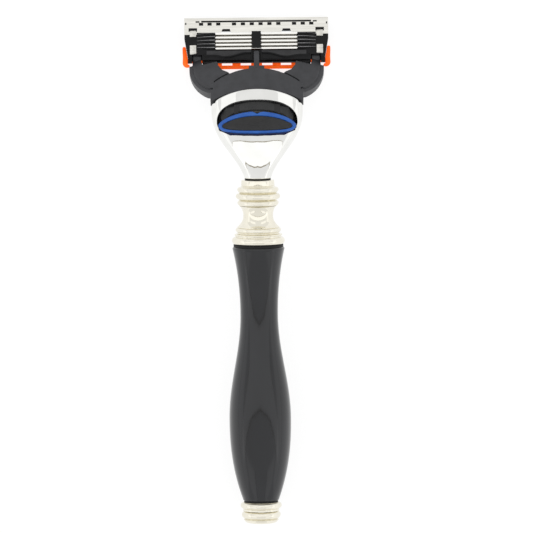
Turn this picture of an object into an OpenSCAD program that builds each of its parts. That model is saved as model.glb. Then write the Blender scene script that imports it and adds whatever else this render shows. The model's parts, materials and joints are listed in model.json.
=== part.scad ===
// A cartridge razor with a turned handle, lying face down.
// X runs across the cartridge, +Y runs from the finial to the cartridge, Z is up.
// Sizes are in millimetres. Distances "d" run along Y from the finial's end,
// and distances "s" run along the handle's own sloping axis.

/* [Handle] */
// Slope of the handle's axis, rising towards the head
handle_slope = 5.5; // [5.2:0.1:6]
// Height of the handle's axis above the table at the finial's end
axis_height = 6.28; // [6.28:0.02:6.6]
// Diameter of the grip at its belly
belly_d = 17.4; // [16.5:0.1:17.4]
// Diameter of the grip at its waist
waist_d = 10.6; // [9.8:0.1:12]
// Diameter of the grip at the collar
grip_top_d = 14.9; // [14:0.1:15.2]
// Diameter of the grip at the finial
grip_foot_d = 10.0; // [9.6:0.1:10.6]
// Bore of the grip, which the brass liner fills
grip_bore_d = 6.6; // [6.4:0.1:7]
// Diameter of the rod that ties the handle together
rod_d = 3.9; // [3.5:0.1:4]

/* [Head] */
// Width of the chromed head at its rim
head_w = 25.8; // [25:0.1:26]
// Thickness of the chromed head at its rim
head_t = 11.2; // [11:0.1:11.4]
// Wall of the chromed head
head_wall = 0.9; // [0.8:0.05:1]
// How far the rim bows forward at its middle
rim_bow = 2.95; // [2.8:0.05:3.1]

/* [Cartridge] */
// Width of the cartridge's housing
housing_w = 40.6; // [40:0.1:41]
// Diameter of the pivot pins
pivot_pin_d = 1.8; // [1.6:0.1:1.8]
// Distance between neighbouring blades
blade_pitch = 1.03; // [1:0.01:1.05]
// Slope of each blade to the shaving plane
blade_slope = 22; // [20:1:24]

/* [Hidden] */
$fn = 96;
fit = 0.05;

// the cartridge's pivot, and the dock's axis that slopes down to it
dock_slope = 25;
pivot_d = 131.3;
pivot_z = 2.95;
// the cartridge's front edge and its back
front_d = 142.5;
back_z = 5.6;
// the origin stands under the middle of the whole length
half_length = front_d / 2 - 0.16;

// stations along the handle's axis
foot_s = 6.4;
belly_s = 29.5;
waist_s = 59;
top_s = 78.2;
collar_s = 78.9;
collar_end_s = 97.1;
neck_s = 97.5;
grip_step = 1.8;
cove_s = 87.3;
cove_r = 4.22;
washer_t = 0.5;
rod_r = rod_d / 2;
spigot_r = 2.55;
screw_r = 0.8;

// the head's centre line: an arc from the handle's axis to the dock's axis
corner_s = (pivot_z - axis_height + pivot_d * tan(dock_slope))
  / (sin(handle_slope) + cos(handle_slope) * tan(dock_slope));
bend = handle_slope + dock_slope;
bend_r = (corner_s - neck_s) / tan(bend / 2);
bend_len = bend_r * bend * PI / 180;
neck_d = neck_s * cos(handle_slope);
neck_z = axis_height + neck_s * sin(handle_slope);
rim_side_y = -15.45;
neck_r = 3.8;
head_steps = 15;
head_sides = 36;

// dock coordinates: origin on the cartridge's pivot, y along the dock's axis
button_y = -23.05;
button_half_w = 10.95;
button_half_l = 3.4;
crown_r = 26.4;
crown_z = 5.7;
floor_z = 3.2;
frame_gap = 0.12;
nose_w = 14.8;
nose_bottom = -2.6;
nose_tip_y = -8.0;
channel_w = 4.6;
channel_z = 0.8;
plunger_w = 4.4;
plunger_top = 3.3;
plunger_front = -4.05;
tongue_w = 1.6;
spring_z = 2.0;
spring_r = 1.05;
spring_wire_r = 0.16;
spring_from_y = -17.6;
spring_to_y = -10.1;
yoke_corner_w = 26.2;
yoke_gap = 0.25;
yoke_dome_r = 60;
yoke_top = 4.7;
arm_top = 4.1;
arm_x = 10.9;
arm_half_w = 8.1;
arm_half_l = 8.9;
arm_y = -3.8;
arm_front = -1.65;
dome_r = 20;
dome_y = -25.4;
boss_from = 15.6;
boss_to = 18.0;
boss_r = 1.3;
pin_to = 19.0;

// cartridge
end_x = 18.2;
rear_end_x = 19.4;
shoulder_d = 136.5;
rail_d = 129.7;
rail_front_d = 133.4;
cap_rail_d = 138.7;
comb_from = 11.6;
bar_w = 2.6;
blade_x = 16.85;
blade_t = 0.1;
blade_w = 1.25;
support_t = 0.25;
edge_z = 0.34;
first_edge_d = 136.75;
leg_top = 4.7;
hem_w = 0.5;
plate_d = 138.35;
clip_x = 17.0;
clip_w = 1.8;
clip_t = 0.3;
clip_rear_d = 132.6;
clip_front_d = 138.75;

// ---------- placing ----------

module on_table() {
  translate([0, -half_length, 0]) children();
}

module on_handle() {
  on_table() translate([0, 0, axis_height]) rotate([handle_slope - 90, 0, 0]) children();
}

module at_dock() {
  on_table() translate([0, pivot_d, pivot_z]) rotate([-dock_slope, 0, 0]) children();
}

module both_sides() {
  children();
  mirror([1, 0, 0]) children();
}

// a box from its low corner to its high corner
module block(low, high) {
  translate(low) cube(high - low);
}

// a cylinder along X from x0 to x1
module rod_x(x0, x1, r, d, z) {
  translate([x0, d, z]) rotate([0, 90, 0]) cylinder(h = x1 - x0, r = r);
}

// ---------- turned parts ----------

function grip_r(s) =
  s > waist_s ? waist_d / 2
    + (grip_top_d - waist_d) / 2 * pow((s - waist_s) / (top_s - waist_s), 2.1)
  : s > belly_s ? waist_d / 2
    + (belly_d - waist_d) / 4 * (1 + cos(180 * (s - belly_s) / (waist_s - belly_s)))
  : belly_d / 2
    - (belly_d - grip_foot_d) / 2 * pow((belly_s - s) / (belly_s - foot_s), 2.3);

// a rounded bead of half-height h about station s, with outer radius r
function bead(s, r, h) = [for (a = [-80:20:80]) [r - h * (1 - cos(a)), s + h * sin(a)]];

// a cove's radius, from its narrowest station out to r_end at s_end
function cove(s, s_end, r_end) =
  cove_r + (r_end - cove_r) * pow(abs((s - cove_s) / (s_end - cove_s)), 2.3);

module finial() {
  color("gainsboro") on_handle() rotate_extrude()
    polygon(concat(
      [[0, 0], [3.9, 0], [4.5, 0.5], [5.1, 1.1]],
      bead(2.3, 5.52, 0.95),
      [[5.1, 3.5], [5.1, 4.0]],
      bead(4.95, 5.83, 0.8),
      [[5.2, 5.9], [spigot_r, 5.9], [spigot_r, 10.4], [rod_r + fit, 10.4],
       [rod_r + fit, 3.0], [0, 3.0]]
    ));
}

module finial_washer() {
  color("black") on_handle() translate([0, 0, 5.9]) difference() {
    cylinder(h = washer_t, r = 4.8);
    translate([0, 0, -1]) cylinder(h = washer_t + 2, r = spigot_r + fit);
  }
}

module grip() {
  color([0.13, 0.13, 0.14]) on_handle() rotate_extrude()
    polygon(concat(
      [[grip_bore_d / 2, top_s], [grip_bore_d / 2, foot_s]],
      [for (s = [foot_s:grip_step:top_s - 0.9]) [grip_r(s), s]],
      [[grip_top_d / 2 - 0.05, top_s - 0.5], [grip_top_d / 2 - 0.45, top_s]]
    ));
}

module grip_liner() {
  color("goldenrod") on_handle() translate([0, 0, foot_s + 0.1]) difference() {
    cylinder(h = top_s - foot_s - 0.2, r = grip_bore_d / 2 - fit / 2);
    translate([0, 0, -1]) cylinder(h = top_s, r = spigot_r + fit);
  }
}

module tie_rod() {
  color("silver") on_handle() translate([0, 0, 3.2]) cylinder(h = 98.6, r = rod_r);
}

module collar_washer() {
  color("black") on_handle() translate([0, 0, top_s]) difference() {
    cylinder(h = collar_s - top_s, r = 7.0);
    translate([0, 0, -1]) cylinder(h = 3, r = spigot_r + fit);
  }
}

module neck_collar() {
  color("gainsboro") on_handle() rotate_extrude()
    polygon(concat(
      [[rod_r + fit, 72.5], [spigot_r, 72.5], [spigot_r, collar_s], [6.6, collar_s]],
      bead(80.2, 7.47, 1.15),
      [[6.5, 81.6], [6.5, 82.2], [5.9, 82.4]],
      bead(83.2, 6.4, 0.62),
      [for (s = [84.1:0.4:87.3]) [cove(s, 84.0, 5.95), s]],
      [for (s = [87.7:0.4:89.7]) [cove(s, 90.1, 5.2), s]],
      [[5.25, 90.2]],
      bead(91.05, 5.8, 0.78),
      [[5.45, 91.95]],
      bead(92.85, 6.27, 0.82),
      [[5.45, 93.75]],
      bead(94.6, 5.83, 0.76),
      [[4.75, 95.5], [4.62, 95.7], [4.58, 96.8], [4.3, collar_end_s],
       [rod_r + fit, collar_end_s]]
    ));
}

module neck_seal() {
  color("black") on_handle() translate([0, 0, collar_end_s]) difference() {
    cylinder(h = neck_s - collar_end_s, r = 3.66);
    translate([0, 0, -1]) cylinder(h = 3, r = rod_r + fit);
  }
}

// ---------- head ----------

function slope_at(u) = u < bend_len ? handle_slope - bend * u / bend_len : -dock_slope;
function arc_point(u) = [
  neck_d + bend_r * (sin(handle_slope) - sin(slope_at(u))),
  neck_z + bend_r * (cos(slope_at(u)) - cos(handle_slope))
];
function centre_point(u) = arc_point(min(u, bend_len))
  + max(0, u - bend_len) * [cos(dock_slope), -sin(dock_slope)];
rim_u = bend_len + (pivot_d + rim_side_y * cos(dock_slope) - centre_point(bend_len)[0])
  / cos(dock_slope);

function head_half_w(u) = let (t = min(1, (centre_point(u)[0] - neck_d) / 18.7))
  neck_r + (head_w / 2 - neck_r) * pow(sin(90 * t), 1.43);
function head_half_t(u) = neck_r + (head_t / 2 - neck_r) * sin(90 * min(1, u / 17));

// one oval ring of the head, square to its centre line, shrunk by gap
function head_ring(u, gap) = let (
    p = centre_point(u), m = slope_at(u),
    w = head_half_w(u) - gap, h = head_half_t(u) - gap,
    e = 1 - 0.14 * min(1, u / 15)
  ) [for (j = [0:head_sides - 1]) let (
    a = 360 * j / head_sides,
    x = w * sign(cos(a)) * pow(abs(cos(a)), e),
    z = h * sign(sin(a)) * pow(abs(sin(a)), e),
    y = rim_bow * pow(min(u, rim_u) / rim_u, 3) * (1 - pow(x / w, 2))
  ) [x, p[0] + y * cos(m) - z * sin(m), p[1] + y * sin(m) + z * cos(m)]];

// an end cap of a skin: strips between points that face each other across the ring
function cap(n, from) = concat(
  [[from, from + 1, from + n - 1]],
  [for (j = [1:n / 2 - 2]) each [
    [from + j, from + j + 1, from + n - j], [from + j + 1, from + n - j - 1, from + n - j]]],
  [[from + n / 2 - 1, from + n / 2, from + n / 2 + 1]]
);
function flipped(faces) = [for (f = faces) [f[2], f[1], f[0]]];

// a closed skin over rings that each have the same even number of points
module skin(rings) {
  n = len(rings[0]);
  last = len(rings) - 1;
  polyhedron(
    points = [for (ring = rings) each ring],
    faces = concat(
      flipped(cap(n, 0)),
      [for (i = [0:last - 1], j = [0:n - 1])
        each [[i * n + j, i * n + (j + 1) % n, (i + 1) * n + j],
              [i * n + (j + 1) % n, (i + 1) * n + (j + 1) % n, (i + 1) * n + j]]],
      cap(n, last * n)
    )
  );
}

module head_body(from_u, to_u, gap) {
  skin([for (i = [0:head_steps]) head_ring(from_u + (to_u - from_u) * i / head_steps, gap)]);
}

// plan outline of the button's window, grown by gap
module window_outline(gap) {
  polygon(concat(
    [for (a = [0:10:180]) [
      (11.35 + gap) * sign(cos(a)) * pow(abs(cos(a)), 0.82),
      -21.4 + (5.4 + gap) * pow(sin(a), 0.9)]],
    [[-11.35 - gap, -22.75], [-10.6 - gap, -24.15], [-9.4 - gap, -25.05], [-7.6, -26.35 - gap],
     [-3.8, -27.0 - gap], [0, -27.2 - gap], [3.8, -27.0 - gap],
     [7.6, -26.35 - gap], [9.4 + gap, -25.05], [10.6 + gap, -24.15], [11.35 + gap, -22.75]]
  ));
}

module head_shell() {
  color("silver") difference() {
    on_table() head_body(0, rim_u, 0);
    on_table() head_body(7.5, rim_u + 0.6, head_wall);
    at_dock() translate([0, 0, 0.9]) linear_extrude(10) window_outline(0);
    on_handle() translate([0, 0, neck_s - 1]) cylinder(h = 6, r = rod_r + fit);
    on_handle() translate([0, 0, neck_s]) cylinder(h = 12, r = screw_r + fit);
  }
}

module dock_nose() {
  translate([0, 0, nose_bottom]) linear_extrude(3.2 - nose_bottom)
    hull() for (x = [-1, 1]) {
      translate([x * (nose_w / 2 - 1.2), nose_tip_y - 1.2]) circle(r = 1.2, $fn = 32);
      translate([x * (nose_w / 2 - 0.1), -17]) circle(r = 0.1, $fn = 16);
    }
}

module dock_frame() {
  color([0.12, 0.12, 0.13]) difference() {
    union() {
      on_table() head_body(7.7, rim_u - 0.2, head_wall + frame_gap);
      at_dock() dock_nose();
    }
    at_dock() {
      // the bay that the button slides in
      translate([0, 0, floor_z]) linear_extrude(10) window_outline(0.25);
      block([-9.4, -18, floor_z], [9.4, -5, 10]);
      // the channel that holds the spring and guides the plunger
      block([-channel_w / 2, -20, channel_z], [channel_w / 2, -5, 10]);
    }
    on_handle() translate([0, 0, neck_s]) cylinder(h = 12, r = screw_r + fit);
  }
}

module frame_screw() {
  color("silver") on_handle() {
    translate([0, 0, 101.9]) cylinder(h = 5.7, r = screw_r);
  }
}

// ---------- eject button ----------

module button_outline(half_w, half_l) {
  polygon([for (a = [0:7.5:352.5]) [half_w * cos(a), half_l * sin(a)]]);
}

module crown(drop) {
  translate([0, -40, crown_z - drop - crown_r]) rotate([-90, 0, 0]) cylinder(h = 40, r = crown_r);
}

module button_pad() {
  color([0.15, 0.15, 0.16]) at_dock() intersection() {
    translate([0, button_y - 0.35, 4.05]) linear_extrude(4) button_outline(9.75, 2.3);
    crown(-0.12);
  }
}

module button_ring() {
  color([0.13, 0.3, 0.72]) at_dock() difference() {
    intersection() {
      union() {
        translate([0, button_y, 3.35]) linear_extrude(4)
          button_outline(button_half_w, button_half_l);
        block([-7.2, button_y - 3.2, 3.35], [7.2, button_y - 2, 4.6]);
      }
      crown(0);
    }
    translate([0, button_y - 0.35, 3]) linear_extrude(4) button_outline(9.8, 2.35);
    // notches that the ejector's bars pass through
    both_sides() block([4.4, button_y, 3], [6.6, -15, 4.05]);
    block([-2.2, button_y, 3], [2.2, -15, 4.05]);
  }
}

module ejector() {
  color([0.2, 0.2, 0.22]) at_dock() difference() {
    union() {
      translate([0, button_y - 0.35, 3.3]) linear_extrude(0.7) button_outline(9.7, 2.25);
      // push bars that bear on the yoke
      both_sides() block([4.5, button_y, 3.3], [6.5, -13.05, 4.0]);
      // the wall that the spring presses on
      block([-2.1, -18.6, 1.0], [2.1, -17.7, 4.0]);
      block([-2.1, button_y, 3.4], [2.1, -17.7, 4.0]);
    }
    translate([0, -25, spring_z]) rotate([-90, 0, 0]) cylinder(h = 10, r = 0.75);
  }
}

// ---------- plunger ----------

module return_spring() {
  turns = 8;
  steps = 10;
  length = spring_to_y - spring_from_y;
  wire = [for (i = [0:turns * steps]) let (
      a = 360 * i / steps, y = spring_from_y + length * i / (turns * steps)
    ) [for (k = [0:5]) let (
        r = spring_r + spring_wire_r * cos(60 * k)
      ) [r * sin(a), y + spring_wire_r * sin(60 * k), spring_z + r * cos(a)]]];
  color("silver") at_dock() skin(wire);
}

module plunger() {
  color([0.22, 0.22, 0.24]) at_dock() {
    block([-plunger_w / 2, -10, 0.9], [plunger_w / 2, plunger_front, plunger_top]);
    block([-tongue_w / 2, plunger_front - 0.1, 2.15], [tongue_w / 2, 0.15, plunger_top]);
    translate([-tongue_w / 2, 0.1, 2.73]) rotate([0, 90, 0]) cylinder(h = tongue_w, r = 0.57);
    translate([0, -14.5, spring_z]) rotate([-90, 0, 0]) cylinder(h = 5, r = 0.6);
  }
}

// ---------- yoke ----------

function rim_y(x) = rim_side_y + rim_bow * (1 - pow(x / (head_w / 2), 2)) + yoke_gap;

module yoke_rear_edge(front) {
  polygon(concat(
    [for (i = [-10:10]) let (x = yoke_corner_w / 20 * i) [x, rim_y(x)]],
    [[yoke_corner_w / 2, front], [-yoke_corner_w / 2, front]]
  ));
}

module yoke_dome() {
  intersection() {
    linear_extrude(20) intersection() {
      yoke_rear_edge(5);
      translate([0, dome_y]) circle(r = dome_r);
    }
    translate([0, -12, yoke_top + 3.7 - yoke_dome_r]) sphere(r = yoke_dome_r);
  }
}

module yoke_arms() {
  intersection() {
    linear_extrude(20) difference() {
      union() {
        both_sides() intersection() {
          translate([arm_x, arm_y]) scale([arm_half_w, arm_half_l]) circle(r = 1);
          translate([0, -20]) square([30, 20 + arm_y]);
        }
        both_sides() translate([5, arm_y]) square([arm_x + arm_half_w - 5, -arm_y]);
        yoke_rear_edge(-9);
      }
      both_sides() polygon([
        [-1, 1], [-1, -6.9], [7.4, -6.9], [8.03, -6.1], [9.74, -5.15], [10.84, -3.44],
        [11.2, arm_front], [15.4, arm_front], [15.4, 1]]);
      translate([0, -25]) yoke_rear_edge(24.9 + rim_side_y);
      difference() {
        translate([-30, -30]) square([60, 17.8]);
        yoke_rear_edge(5);
      }
    }
    translate([0, -12, arm_top + 1.3 - yoke_dome_r]) sphere(r = yoke_dome_r);
  }
}

module yoke() {
  color([0.3, 0.3, 0.32]) at_dock() {
    difference() {
      union() {
        translate([0, 0, -3.7]) yoke_dome();
        translate([0, 0, -1.3]) yoke_arms();
      }
      // socket for the dock's nose
      block([-nose_w / 2 - 0.1, -20, nose_bottom - 0.1],
        [nose_w / 2 + 0.1, nose_tip_y + 0.15, 3.34]);
      // slope under the rear corners, which keeps them flush with the head's sides
      rotate([90, 0, 90]) linear_extrude(40, center = true)
        polygon([[-18, 0], [-14.6, 0], [-12.6, -4], [-18, -4]]);
      // passage for the plunger
      block([-2.3, -8, channel_z], [2.3, 3, 3.4]);
      // room for the cartridge to turn
      rod_x(-8.6, 8.6, 4.3, 0, 0);
      rod_x(-15.4, 15.4, 3.05, 0, 0);
      both_sides() rod_x(18.1, 20, 2.8, 0, 0);
      both_sides() block([15.3, -2, -3], [15.6, 5, 5]);
      both_sides() block([boss_from, 0.05, -3], [20, 5, 5]);
    }
    both_sides() {
      rod_x(boss_from, boss_to, boss_r, 0, 0);
      rod_x(boss_from, pin_to, pivot_pin_d / 2, 0, 0);
    }
  }
}

// ---------- cartridge ----------

function edge_d(n) = first_edge_d - blade_pitch * (n - 1);

// one blade's leg line, measured along d
function leg_d(n) = edge_d(n) + blade_w * cos(blade_slope);

module cartridge_housing() {
  color([0.1, 0.1, 0.11]) on_table() difference() {
    union() {
      both_sides() {
        translate([0, 0, 0.6]) linear_extrude(back_z - 0.6) polygon([
          [end_x, pivot_d], [rear_end_x, pivot_d], [housing_w / 2, shoulder_d],
          [housing_w / 2, 141.9], [end_x, 141.9]]);
        rod_x(end_x, rear_end_x, 1.6, pivot_d, pivot_z);
        block([end_x, rail_d + 0.1, pivot_z], [rear_end_x, pivot_d + 0.1, back_z - 0.6]);
        block([comb_from, rail_front_d - 0.1, 3.0], [end_x + 0.1, cap_rail_d + 0.1, 5.45]);
      }
      block([-end_x - 0.1, rail_d + 0.9, 1.3], [end_x + 0.1, rail_front_d, back_z]);
      rod_x(-end_x - 0.1, end_x + 0.1, 1.6, pivot_d, pivot_z);
      block([-end_x - 0.1, cap_rail_d, 1.1], [end_x + 0.1, 141.9, back_z]);
      block([-bar_w / 2, rail_front_d - 0.1, 5.1], [bar_w / 2, cap_rail_d + 0.1, back_z]);
    }
    both_sides() {
      // slots for the yoke's arms and the bores that its pins turn in
      rod_x(boss_from - 0.25, end_x, boss_r + 0.35, pivot_d, pivot_z);
      block([boss_from - 0.25, rail_d - 1, 1.35], [end_x, pivot_d + 0.75, 7]);
      rod_x(end_x - 1, pin_to + 0.1, pivot_pin_d / 2 + fit, pivot_d, pivot_z);
      // slots that the blade supports slide in
      for (n = [1:5]) {
        block([comb_from - 1, leg_d(n) - 0.12, 2],
          [blade_x + 0.1, leg_d(n) + support_t + 0.12, 5.06]);
      }
      // slots for the clips
      for (d = [clip_rear_d, clip_front_d]) {
        block([clip_x - fit, d - fit, 0], [clip_x + clip_w + fit, d + clip_t + fit, 7]);
      }
      block([clip_x - fit, clip_rear_d - fit, -1],
        [clip_x + clip_w + fit, clip_front_d + clip_t + fit, 0.66]);
    }
    // recess that the plunger rides in
    block([-1.3, 129, 4.3], [1.3, 133.9, 7]);
    block([-2.6, 129, 4.3], [2.6, 130.6, 7]);
    // seat of the lubricating strip
    block([-16.7, 138.8, 0], [16.7, 141.5, 1.25]);
  }
}

module guard_fins() {
  color([1, 0.42, 0.04]) on_table() difference() {
    union() {
      block([-17, 129.85, 0.45], [17, 132.5, 1.25]);
      for (i = [0:4]) {
        block([-16.6, 130.0 + 0.5 * i, 0], [16.6, 130.25 + 0.5 * i, 0.5]);
      }
      block([-11.5, 128.1, 0.45], [11.5, 129.15, 1.6]);
      both_sides() {
        block([9.8, 128.1, 0.45], [11.5, 130.2, 1.25]);
        block([4.5, 128.1, 0.45], [6.85, 130.2, 1.25]);
      }
      block([-1.55, 128.1, 0.45], [1.55, 130.2, 1.25]);
      // wings that wrap the cartridge's ends
      both_sides() {
        block([19.35, 128.6, 0.45], [20.9, 129.6, 2.2]);
        translate([0, 0, 0.45]) linear_extrude(2.95) polygon([
          [rear_end_x + fit, 129.2], [20.9, 129.2], [20.9, 134.5], [20.02, 134.5],
          [rear_end_x + fit, pivot_d]]);
        block([16.9, 129.85, 0.45], [20.4, 131.2, 0.58]);
        block([19.35, 129.5, 0.45], [20.4, 131.2, 0.58]);
      }
    }
    rod_x(-end_x, end_x, 1.62, pivot_d, pivot_z);
  }
}

module lubricating_strip() {
  color([0.75, 0.87, 0.95]) on_table() block([-16.6, 138.9, 0], [16.6, 141.4, 1.2]);
}

module trimmer_plate() {
  color("gainsboro") on_table() difference() {
    union() {
      block([-housing_w / 2, plate_d, back_z + 0.05], [housing_w / 2, front_d, 6.0]);
      both_sides() block([16.8, 137.8, back_z + 0.05], [housing_w / 2, plate_d + 0.1, 6.0]);
      block([-housing_w / 2, front_d - 0.35, 2.9], [housing_w / 2, front_d, 6.0]);
      both_sides() {
        block([housing_w / 2 - 0.3, 142.0, 3.4], [housing_w / 2, front_d, 6.0]);
      }
    }
    both_sides() {
      // rinse slots
      for (x = [1.24, 3.74, 6.25, 10.7, 13.15, 15.55]) {
        translate([x, 140.75, 5.85]) cube([1.2, 0.8, 1], center = true);
      }
      // trapezoid notches
      translate([8.5, plate_d, 5]) linear_extrude(2)
        polygon([[-1.5, -0.2], [1.5, -0.2], [1.0, 1.0], [-1.0, 1.0]]);
      // holes that the clips come out of
      block([clip_x - 0.3, clip_front_d - 0.1, 5], [clip_x + clip_w + 0.3, 139.65, 7]);
      block([19.7, 140.6, 5], [20.05, 141.2, 7]);
      block([16.0, 141.2, 5], [17.1, 141.6, 7]);
    }
    // notch over the housing's centre bar
    block([-1.35, plate_d - 0.1, 5], [1.35, 138.7, 7]);
    // the slit that the trimmer's edge sits behind
    block([-15.5, 141.22, 5], [15.5, 141.72, 7]);
  }
}

module trimmer_blade() {
  color("silver") on_table() translate([-17.2, 141.95, 4.0]) cube([34.4, 0.15, 1.6]);
}

module clip() {
  block([clip_x, clip_rear_d, 0.02], [clip_x + clip_w, clip_front_d + clip_t, clip_t]);
  block([clip_x, clip_rear_d, 0.02], [clip_x + clip_w, clip_rear_d + clip_t, back_z + 0.3]);
  block([clip_x, clip_front_d, 0.02], [clip_x + clip_w, clip_front_d + clip_t, 6.31]);
  block([clip_x, 132.1, back_z + 0.02], [clip_x + clip_w, 134.85, back_z + 0.32]);
  block([clip_x, 137.2, 6.03], [clip_x + clip_w, clip_front_d + clip_t, 6.33]);
}

module clip_left() {
  color("lightgray") on_table() mirror([1, 0, 0]) clip();
}

module clip_right() {
  color("lightgray") on_table() clip();
}

// a point beside blade n: a along the blade from its edge, b square to it
function by_blade(n, a, b) = [
  edge_d(n) + a * cos(blade_slope) - b * sin(blade_slope),
  edge_z + a * sin(blade_slope) + b * cos(blade_slope)
];
// where the line b beside a blade crosses the upright at distance d beyond the edge
function along_to(d, b) = (d + b * sin(blade_slope)) / cos(blade_slope);

// a profile in the (d, z) plane, drawn out along the blades
module blade_length() {
  on_table() translate([-blade_x, 0, 0]) rotate([90, 0, 90]) linear_extrude(2 * blade_x)
    children();
}

module blade(n) {
  color("silver") blade_length() polygon([
    by_blade(n, 0, 0), by_blade(n, blade_w, 0),
    by_blade(n, blade_w, blade_t), by_blade(n, 0.3, blade_t)
  ]);
}

module blade_support(n) {
  leg = blade_w * cos(blade_slope);
  under = blade_t + 0.01;
  over = under + 0.2;
  middle = leg_d(n) + support_t / 2;
  color("lightgray") {
    blade_length() polygon([
      by_blade(n, 0.45, under),
      by_blade(n, along_to(leg + support_t, under), under),
      [leg_d(n) + support_t, leg_top],
      [leg_d(n), leg_top],
      by_blade(n, along_to(leg, over), over),
      by_blade(n, 0.45, over)
    ]);
    // the folded hem along the support's back, on each side of the centre bar
    on_table() both_sides() block(
      [bar_w / 2 + 0.2, middle - hem_w / 2, leg_top - 0.35],
      [comb_from - 0.2, middle + hem_w / 2, leg_top - 0.01]);
  }
}

module blade_1() blade(1);
module blade_2() blade(2);
module blade_3() blade(3);
module blade_4() blade(4);
module blade_5() blade(5);
module blade_support_1() blade_support(1);
module blade_support_2() blade_support(2);
module blade_support_3() blade_support(3);
module blade_support_4() blade_support(4);
module blade_support_5() blade_support(5);

finial();
finial_washer();
grip();
grip_liner();
tie_rod();
collar_washer();
neck_collar();
neck_seal();
head_shell();
dock_frame();
frame_screw();
button_pad();
button_ring();
ejector();
return_spring();
plunger();
yoke();
cartridge_housing();
guard_fins();
lubricating_strip();
trimmer_plate();
trimmer_blade();
clip_left();
clip_right();
blade_1();
blade_2();
blade_3();
blade_4();
blade_5();
blade_support_1();
blade_support_2();
blade_support_3();
blade_support_4();
blade_support_5();
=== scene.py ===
import json
import math

import bmesh
import bpy
from mathutils import Matrix, Vector


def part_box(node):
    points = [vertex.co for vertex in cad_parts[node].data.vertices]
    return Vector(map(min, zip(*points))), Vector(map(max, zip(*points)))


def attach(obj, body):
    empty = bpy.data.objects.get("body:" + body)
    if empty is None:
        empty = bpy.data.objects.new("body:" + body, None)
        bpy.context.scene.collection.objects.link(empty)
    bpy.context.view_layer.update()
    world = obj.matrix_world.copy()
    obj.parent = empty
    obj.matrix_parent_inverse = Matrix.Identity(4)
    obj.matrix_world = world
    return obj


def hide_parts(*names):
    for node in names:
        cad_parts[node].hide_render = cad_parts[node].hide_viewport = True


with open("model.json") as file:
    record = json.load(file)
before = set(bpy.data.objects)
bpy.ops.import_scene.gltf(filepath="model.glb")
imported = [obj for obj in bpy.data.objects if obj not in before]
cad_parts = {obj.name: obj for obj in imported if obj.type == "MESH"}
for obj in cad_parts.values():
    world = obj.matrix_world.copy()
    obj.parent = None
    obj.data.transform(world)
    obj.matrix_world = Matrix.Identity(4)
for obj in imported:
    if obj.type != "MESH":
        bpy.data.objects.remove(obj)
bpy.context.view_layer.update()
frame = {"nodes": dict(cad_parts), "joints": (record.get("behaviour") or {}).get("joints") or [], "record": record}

# ---------------------------------------------------------------- places
# Lengths in this script are millimetres in one of three local frames, which the
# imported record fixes: the handle (x, along its axis, up), the dock (x, along the
# dock's axis, up, from the cartridge's pivot) and the table (x, from the finial's
# end, up).
MM = 0.001
record = frame["record"]
mounts = {m["name"]: m for m in record["mounts"]}
joints = {j["name"]: j for j in frame["joints"]}
X = Vector((1, 0, 0))


def place(origin, forward):
    """Matrix from local millimetres (x, along forward, up) to the row frame in metres."""
    forward = Vector(forward).normalized()
    up = X.cross(forward)
    turn = Matrix((X, forward, up)).transposed().to_4x4()
    return Matrix.Translation(origin) @ turn @ Matrix.Scale(MM, 4)


PIVOT = Vector(joints["cartridge_pivot"]["pos_m"])
PIVOT_D = 131.3
DOCK = place(PIVOT, joints["eject_button"]["axis"])
HANDLE = place(mounts["finial_face"]["pos_m"], -Vector(mounts["finial_face"]["axis"]))
TABLE = place((0, PIVOT.y - PIVOT_D * MM, 0), (0, 1, 0))


# ---------------------------------------------------------------- materials
def node_material(name):
    mat = bpy.data.materials.new(name)
    mat.use_nodes = True
    tree = mat.node_tree
    return mat, tree, tree.nodes["Principled BSDF"]


def noise(tree, scale, detail=4.0, stretch=(1, 1, 1)):
    """Noise on object coordinates in metres; scale is in features per metre."""
    coords = tree.nodes.new("ShaderNodeTexCoord")
    mapping = tree.nodes.new("ShaderNodeMapping")
    mapping.inputs["Scale"].default_value = stretch
    tree.links.new(coords.outputs["Object"], mapping.inputs["Vector"])
    tex = tree.nodes.new("ShaderNodeTexNoise")
    tex.inputs["Scale"].default_value = scale
    tex.inputs["Detail"].default_value = detail
    tree.links.new(mapping.outputs["Vector"], tex.inputs["Vector"])
    return tex.outputs["Fac"]


def ramp(tree, fac, stops):
    """Colour that runs through (position, colour) stops as fac goes from 0 to 1."""
    node = tree.nodes.new("ShaderNodeValToRGB")
    while len(node.color_ramp.elements) < len(stops):
        node.color_ramp.elements.new(0.5)
    for element, (at, colour) in zip(node.color_ramp.elements, stops):
        element.position = at
        element.color = (*colour, 1)
    tree.links.new(fac, node.inputs["Fac"])
    return node.outputs["Color"]


def spread(tree, fac, low, high):
    """Value that goes from low to high as fac goes from 0 to 1."""
    node = tree.nodes.new("ShaderNodeMapRange")
    node.inputs["To Min"].default_value = low
    node.inputs["To Max"].default_value = high
    tree.links.new(fac, node.inputs["Value"])
    return node.outputs["Result"]


def bump(tree, shader, height, distance, strength):
    node = tree.nodes.new("ShaderNodeBump")
    node.inputs["Distance"].default_value = distance
    node.inputs["Strength"].default_value = strength
    tree.links.new(height, node.inputs["Height"])
    tree.links.new(node.outputs["Normal"], shader.inputs["Normal"])


def polished(name, dark, light, rough):
    """Plated mirror metal with faint clouding and very fine polishing marks."""
    mat, tree, shader = node_material(name)
    shader.inputs["Metallic"].default_value = 1.0
    tree.links.new(ramp(tree, noise(tree, 260), [(0.3, dark), (0.75, light)]),
                   shader.inputs["Base Color"])
    tree.links.new(spread(tree, noise(tree, 900, 6), rough[0], rough[1]),
                   shader.inputs["Roughness"])
    bump(tree, shader, noise(tree, 5200, 3), 0.000002, 0.35)
    return mat


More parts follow.
